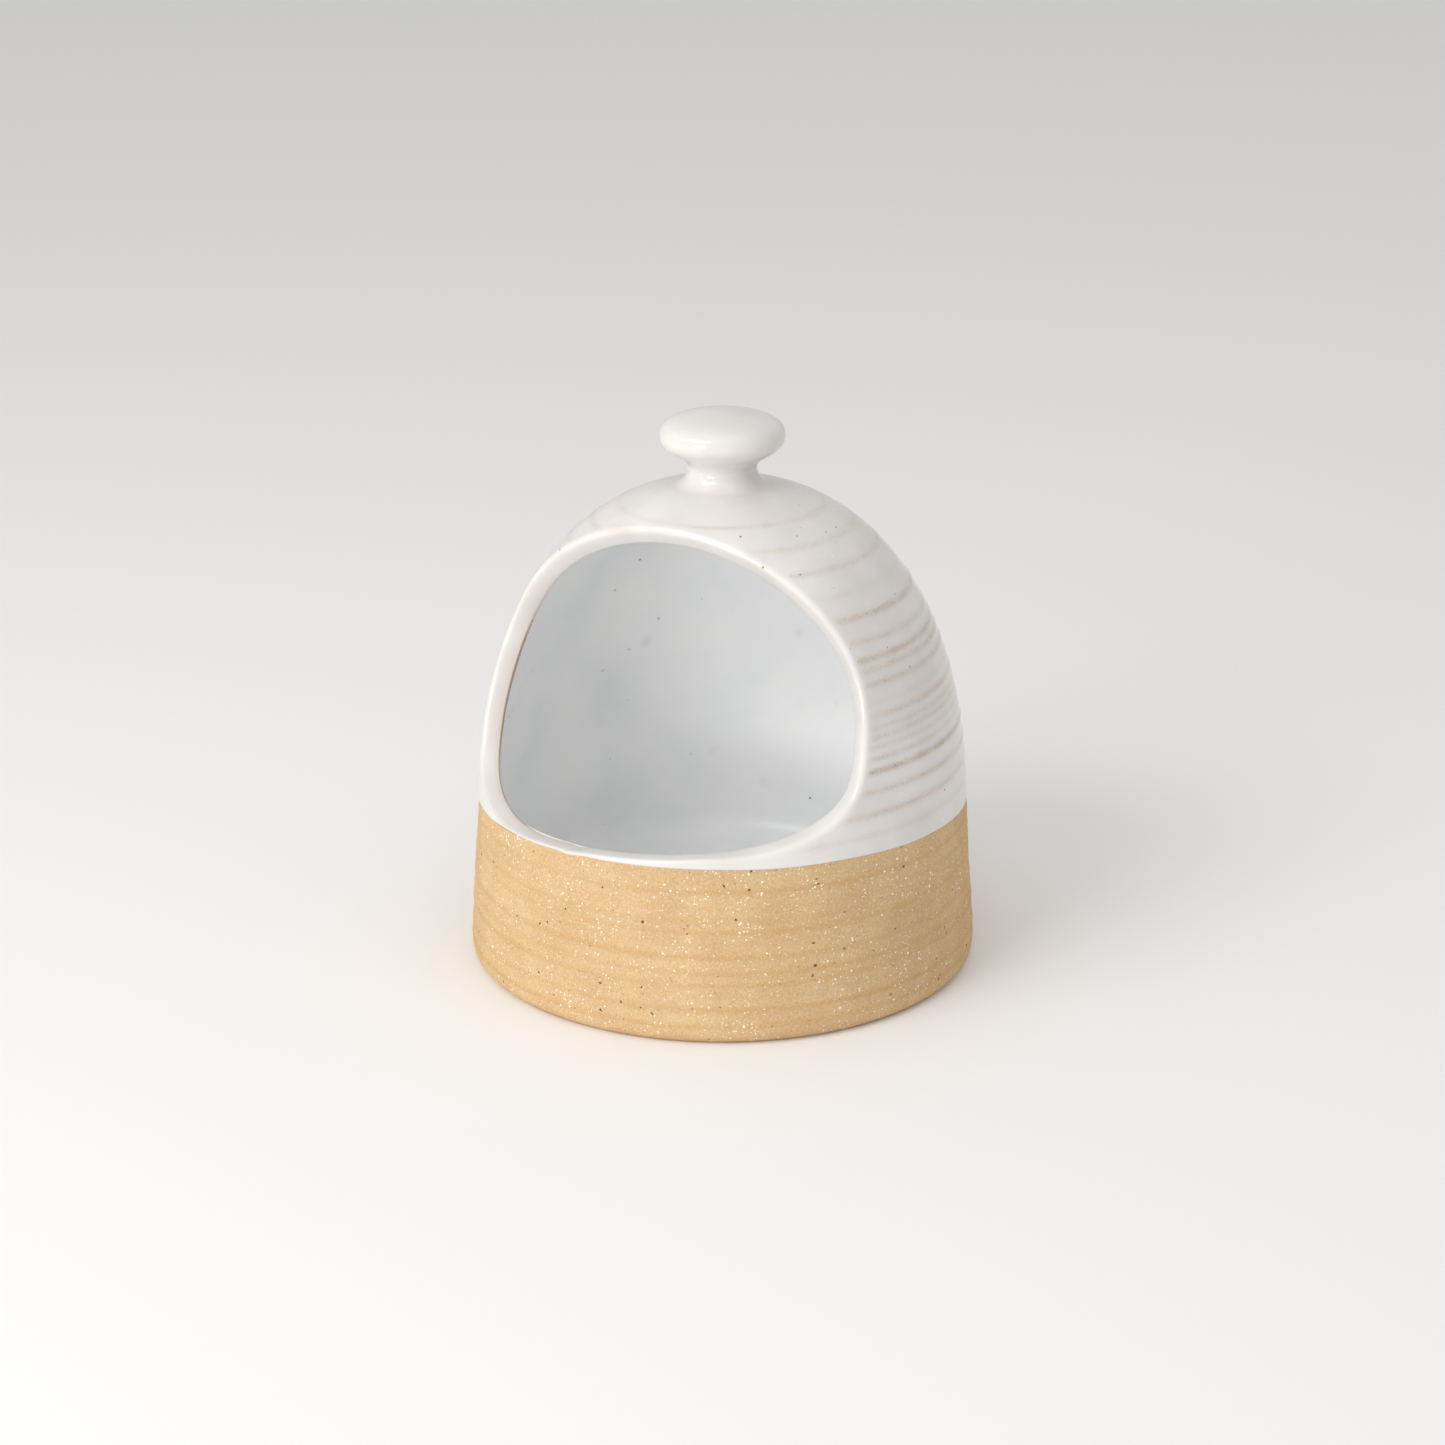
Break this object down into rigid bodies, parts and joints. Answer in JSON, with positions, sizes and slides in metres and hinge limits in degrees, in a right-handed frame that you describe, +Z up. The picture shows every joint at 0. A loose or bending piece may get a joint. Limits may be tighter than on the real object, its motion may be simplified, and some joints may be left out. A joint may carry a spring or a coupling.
{
  "type": "salt pig",
  "caption": "Stoneware salt pig: a domed salt cellar with a wide mouth cut in its front, a mushroom knob on top, white glaze above and bare clay below.",
  "frame": {"origin": "centre of the foot, on the surface that the salt pig stands on", "axes": "+Z up through the knob, -Y out of the mouth, +X to the right when facing the mouth"},
  "size_m": [0.1308, 0.1308, 0.1425],
  "materials": {
    "bare_stoneware": "bare sandy stoneware, matte, with pale and dark flecks",
    "white_glaze": "glossy warm white glaze that breaks to beige on the throwing rings",
    "inside_glaze": "smooth cool white glaze with a few grey specks"
  },
  "bodies": {
    "root": {"lower_wall": "bare_stoneware", "floor_disc": "bare_stoneware", "inner_glaze": "inside_glaze", "dome": "white_glaze", "knob": "white_glaze"}
  },
  "joints": []
}
